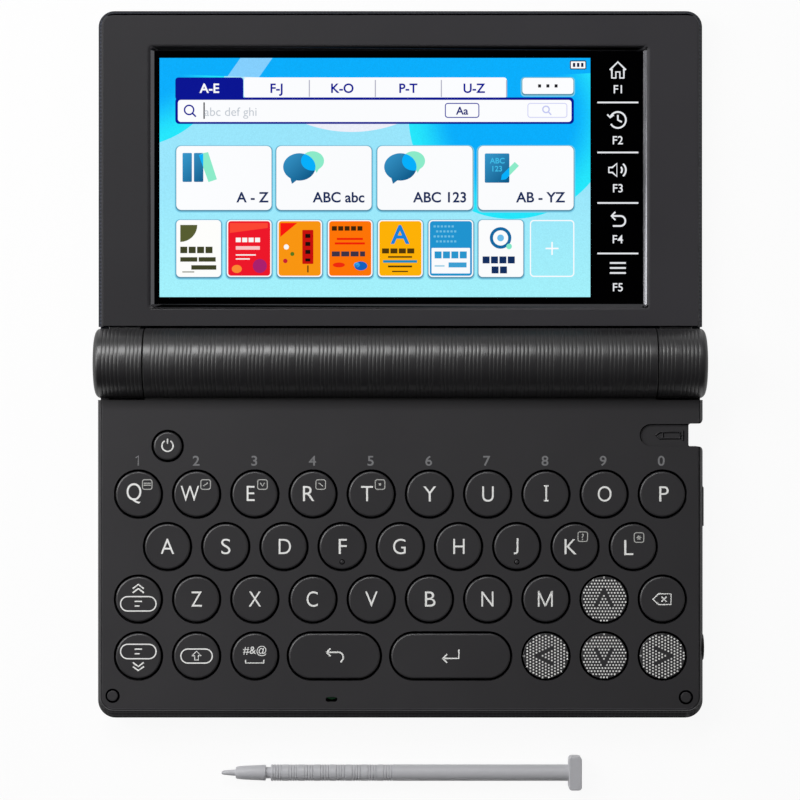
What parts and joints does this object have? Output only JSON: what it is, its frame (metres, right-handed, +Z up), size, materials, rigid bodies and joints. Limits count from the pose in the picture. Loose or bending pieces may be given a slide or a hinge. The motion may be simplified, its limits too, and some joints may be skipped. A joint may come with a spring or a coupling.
{
  "type": "electronic dictionary",
  "caption": "Pocket electronic dictionary lying open flat: touch screen lid on a ribbed barrel hinge, round-key keyboard base with battery barrel, stylus silo and loose stylus.",
  "frame": {"origin": "on the table under the middle of the hinge barrel, where its flat underside stands", "axes": "+X along the hinge to the right, +Y towards the open lid, +Z up from the table"},
  "size_m": [0.1484, 0.1906, 0.0169],
  "materials": {
    "deck_plastic": "fine moulded texture, near-black",
    "rim_plastic": "dotted moulded texture, blue-black",
    "bezel_plastic": "fine moulded texture",
    "barrel_plastic": "satin, fine ribs",
    "key_plastic": "satin, rounded rim",
    "pad_rubber": "matt",
    "dome_rubber": "matt grey silicone",
    "stylus_plastic": "smooth satin grey",
    "inner_plastic": "plain",
    "port_plastic": "matt",
    "jack_plastic": "moulded black",
    "panel_glass": "clear hard panel with a black printed strip",
    "display_face": "lit colour display",
    "cell_jacket": "printed foil jacket",
    "spring_steel": "plated strip",
    "board_laminate": "solder-masked laminate",
    "speaker_metal": "pressed frame",
    "screw_steel": "black zinc",
    "pin_steel": "ground steel"
  },
  "bodies": {
    "base": {"base_top_case": "deck_plastic", "base_bottom_case": "rim_plastic", "barrel_cover": "barrel_plastic", "battery_cells": "cell_jacket", "battery_contacts": "spring_steel", "circuit_board": "board_laminate", "key_dome_sheet": "dome_rubber", "case_screws": "screw_steel", "rubber_pads": "pad_rubber", "stylus_silo": "inner_plastic", "speaker": "speaker_metal", "earphone_jack": "jack_plastic", "hinge_pins": "pin_steel"},
    "lid": {"lid_bezel": "bezel_plastic", "lid_back_cover": "rim_plastic", "touch_panel": "panel_glass", "display_module": "display_face", "hinge_knuckle_left": "barrel_plastic", "hinge_knuckle_right": "barrel_plastic"},
    "stylus": {"stylus": "stylus_plastic"},
    "battery_door": {"battery_cover": "barrel_plastic"},
    "port_flap": {"usb_port_cover": "port_plastic"},
    "key_q": {"key_q": "key_plastic"},
    "key_w": {"key_w": "key_plastic"},
    "key_e": {"key_e": "key_plastic"},
    "key_r": {"key_r": "key_plastic"},
    "key_t": {"key_t": "key_plastic"},
    "key_y": {"key_y": "key_plastic"},
    "key_u": {"key_u": "key_plastic"},
    "key_i": {"key_i": "key_plastic"},
    "key_o": {"key_o": "key_plastic"},
    "key_p": {"key_p": "key_plastic"},
    "key_a": {"key_a": "key_plastic"},
    "key_s": {"key_s": "key_plastic"},
    "key_d": {"key_d": "key_plastic"},
    "key_f": {"key_f": "key_plastic"},
    "key_g": {"key_g": "key_plastic"},
    "key_h": {"key_h": "key_plastic"},
    "key_j": {"key_j": "key_plastic"},
    "key_k": {"key_k": "key_plastic"},
    "key_l": {"key_l": "key_plastic"},
    "key_z": {"key_z": "key_plastic"},
    "key_x": {"key_x": "key_plastic"},
    "key_c": {"key_c": "key_plastic"},
    "key_v": {"key_v": "key_plastic"},
    "key_b": {"key_b": "key_plastic"},
    "key_n": {"key_n": "key_plastic"},
    "key_m": {"key_m": "key_plastic"},
    "key_previous": {"key_previous": "key_plastic"},
    "key_next": {"key_next": "key_plastic"},
    "key_shift": {"key_shift": "key_plastic"},
    "key_symbol": {"key_symbol": "key_plastic"},
    "key_exit": {"key_exit": "key_plastic"},
    "key_enter": {"key_enter": "key_plastic"},
    "key_delete": {"key_delete": "key_plastic"},
    "key_up": {"key_up": "key_plastic"},
    "key_down": {"key_down": "key_plastic"},
    "key_left": {"key_left": "key_plastic"},
    "key_right": {"key_right": "key_plastic"},
    "key_power": {"key_power": "key_plastic"}
  },
  "joints": [
    {"name": "lid_hinge", "type": "hinge", "parent": "base", "child": "lid", "pos_m": [0, 0, 0.0084], "axis": [1, 0, 0], "range_deg": [0, 180]},
    {"name": "port_flap_hinge", "type": "hinge", "parent": "base", "child": "port_flap", "pos_m": [0.07395, -0.0396, 0.0041], "axis": [0, 0, -1], "range_deg": [0, 100]},
    {"name": "battery_door_pull", "type": "slide", "parent": "base", "child": "battery_door", "axis": [0, 0, -1], "range_m": [0, 0.02]},
    {"name": "stylus_lift", "type": "slide", "parent": "base", "child": "stylus", "axis": [0, 0, 1], "range_m": [0, 0.06]},
    {"name": "key_q_press", "type": "slide", "parent": "base", "child": "key_q", "axis": [0, 0, -1], "range_m": [0, 0.0008], "stiffness_N_per_m": 500, "springref_m": -0.0008},
    {"name": "key_w_press", "type": "slide", "parent": "base", "child": "key_w", "axis": [0, 0, -1], "range_m": [0, 0.0008], "stiffness_N_per_m": 500, "springref_m": -0.0008},
    {"name": "key_e_press", "type": "slide", "parent": "base", "child": "key_e", "axis": [0, 0, -1], "range_m": [0, 0.0008], "stiffness_N_per_m": 500, "springref_m": -0.0008},
    {"name": "key_r_press", "type": "slide", "parent": "base", "child": "key_r", "axis": [0, 0, -1], "range_m": [0, 0.0008], "stiffness_N_per_m": 500, "springref_m": -0.0008},
    {"name": "key_t_press", "type": "slide", "parent": "base", "child": "key_t", "axis": [0, 0, -1], "range_m": [0, 0.0008], "stiffness_N_per_m": 500, "springref_m": -0.0008},
    {"name": "key_y_press", "type": "slide", "parent": "base", "child": "key_y", "axis": [0, 0, -1], "range_m": [0, 0.0008], "stiffness_N_per_m": 500, "springref_m": -0.0008},
    {"name": "key_u_press", "type": "slide", "parent": "base", "child": "key_u", "axis": [0, 0, -1], "range_m": [0, 0.0008], "stiffness_N_per_m": 500, "springref_m": -0.0008},
    {"name": "key_i_press", "type": "slide", "parent": "base", "child": "key_i", "axis": [0, 0, -1], "range_m": [0, 0.0008], "stiffness_N_per_m": 500, "springref_m": -0.0008},
    {"name": "key_o_press", "type": "slide", "parent": "base", "child": "key_o", "axis": [0, 0, -1], "range_m": [0, 0.0008], "stiffness_N_per_m": 500, "springref_m": -0.0008},
    {"name": "key_p_press", "type": "slide", "parent": "base", "child": "key_p", "axis": [0, 0, -1], "range_m": [0, 0.0008], "stiffness_N_per_m": 500, "springref_m": -0.0008},
    {"name": "key_a_press", "type": "slide", "parent": "base", "child": "key_a", "axis": [0, 0, -1], "range_m": [0, 0.0008], "stiffness_N_per_m": 500, "springref_m": -0.0008},
    {"name": "key_s_press", "type": "slide", "parent": "base", "child": "key_s", "axis": [0, 0, -1], "range_m": [0, 0.0008], "stiffness_N_per_m": 500, "springref_m": -0.0008},
    {"name": "key_d_press", "type": "slide", "parent": "base", "child": "key_d", "axis": [0, 0, -1], "range_m": [0, 0.0008], "stiffness_N_per_m": 500, "springref_m": -0.0008},
    {"name": "key_f_press", "type": "slide", "parent": "base", "child": "key_f", "axis": [0, 0, -1], "range_m": [0, 0.0008], "stiffness_N_per_m": 500, "springref_m": -0.0008},
    {"name": "key_g_press", "type": "slide", "parent": "base", "child": "key_g", "axis": [0, 0, -1], "range_m": [0, 0.0008], "stiffness_N_per_m": 500, "springref_m": -0.0008},
    {"name": "key_h_press", "type": "slide", "parent": "base", "child": "key_h", "axis": [0, 0, -1], "range_m": [0, 0.0008], "stiffness_N_per_m": 500, "springref_m": -0.0008},
    {"name": "key_j_press", "type": "slide", "parent": "base", "child": "key_j", "axis": [0, 0, -1], "range_m": [0, 0.0008], "stiffness_N_per_m": 500, "springref_m": -0.0008},
    {"name": "key_k_press", "type": "slide", "parent": "base", "child": "key_k", "axis": [0, 0, -1], "range_m": [0, 0.0008], "stiffness_N_per_m": 500, "springref_m": -0.0008},
    {"name": "key_l_press", "type": "slide", "parent": "base", "child": "key_l", "axis": [0, 0, -1], "range_m": [0, 0.0008], "stiffness_N_per_m": 500, "springref_m": -0.0008},
    {"name": "key_z_press", "type": "slide", "parent": "base", "child": "key_z", "axis": [0, 0, -1], "range_m": [0, 0.0008], "stiffness_N_per_m": 500, "springref_m": -0.0008},
    {"name": "key_x_press", "type": "slide", "parent": "base", "child": "key_x", "axis": [0, 0, -1], "range_m": [0, 0.0008], "stiffness_N_per_m": 500, "springref_m": -0.0008},
    {"name": "key_c_press", "type": "slide", "parent": "base", "child": "key_c", "axis": [0, 0, -1], "range_m": [0, 0.0008], "stiffness_N_per_m": 500, "springref_m": -0.0008},
    {"name": "key_v_press", "type": "slide", "parent": "base", "child": "key_v", "axis": [0, 0, -1], "range_m": [0, 0.0008], "stiffness_N_per_m": 500, "springref_m": -0.0008},
    {"name": "key_b_press", "type": "slide", "parent": "base", "child": "key_b", "axis": [0, 0, -1], "range_m": [0, 0.0008], "stiffness_N_per_m": 500, "springref_m": -0.0008},
    {"name": "key_n_press", "type": "slide", "parent": "base", "child": "key_n", "axis": [0, 0, -1], "range_m": [0, 0.0008], "stiffness_N_per_m": 500, "springref_m": -0.0008},
    {"name": "key_m_press", "type": "slide", "parent": "base", "child": "key_m", "axis": [0, 0, -1], "range_m": [0, 0.0008], "stiffness_N_per_m": 500, "springref_m": -0.0008},
    {"name": "key_previous_press", "type": "slide", "parent": "base", "child": "key_previous", "axis": [0, 0, -1], "range_m": [0, 0.0008], "stiffness_N_per_m": 500, "springref_m": -0.0008},
    {"name": "key_next_press", "type": "slide", "parent": "base", "child": "key_next", "axis": [0, 0, -1], "range_m": [0, 0.0008], "stiffness_N_per_m": 500, "springref_m": -0.0008},
    {"name": "key_shift_press", "type": "slide", "parent": "base", "child": "key_shift", "axis": [0, 0, -1], "range_m": [0, 0.0008], "stiffness_N_per_m": 500, "springref_m": -0.0008},
    {"name": "key_symbol_press", "type": "slide", "parent": "base", "child": "key_symbol", "axis": [0, 0, -1], "range_m": [0, 0.0008], "stiffness_N_per_m": 500, "springref_m": -0.0008},
    {"name": "key_exit_press", "type": "slide", "parent": "base", "child": "key_exit", "axis": [0, 0, -1], "range_m": [0, 0.0008], "stiffness_N_per_m": 500, "springref_m": -0.0008},
    {"name": "key_enter_press", "type": "slide", "parent": "base", "child": "key_enter", "axis": [0, 0, -1], "range_m": [0, 0.0008], "stiffness_N_per_m": 500, "springref_m": -0.0008},
    {"name": "key_delete_press", "type": "slide", "parent": "base", "child": "key_delete", "axis": [0, 0, -1], "range_m": [0, 0.0008], "stiffness_N_per_m": 500, "springref_m": -0.0008},
    {"name": "key_up_press", "type": "slide", "parent": "base", "child": "key_up", "axis": [0, 0, -1], "range_m": [0, 0.0008], "stiffness_N_per_m": 500, "springref_m": -0.0008},
    {"name": "key_down_press", "type": "slide", "parent": "base", "child": "key_down", "axis": [0, 0, -1], "range_m": [0, 0.0008], "stiffness_N_per_m": 500, "springref_m": -0.0008},
    {"name": "key_left_press", "type": "slide", "parent": "base", "child": "key_left", "axis": [0, 0, -1], "range_m": [0, 0.0008], "stiffness_N_per_m": 500, "springref_m": -0.0008},
    {"name": "key_right_press", "type": "slide", "parent": "base", "child": "key_right", "axis": [0, 0, -1], "range_m": [0, 0.0008], "stiffness_N_per_m": 500, "springref_m": -0.0008},
    {"name": "key_power_press", "type": "slide", "parent": "base", "child": "key_power", "axis": [0, 0, -1], "range_m": [0, 0.0008], "stiffness_N_per_m": 500, "springref_m": -0.0008}
  ]
}
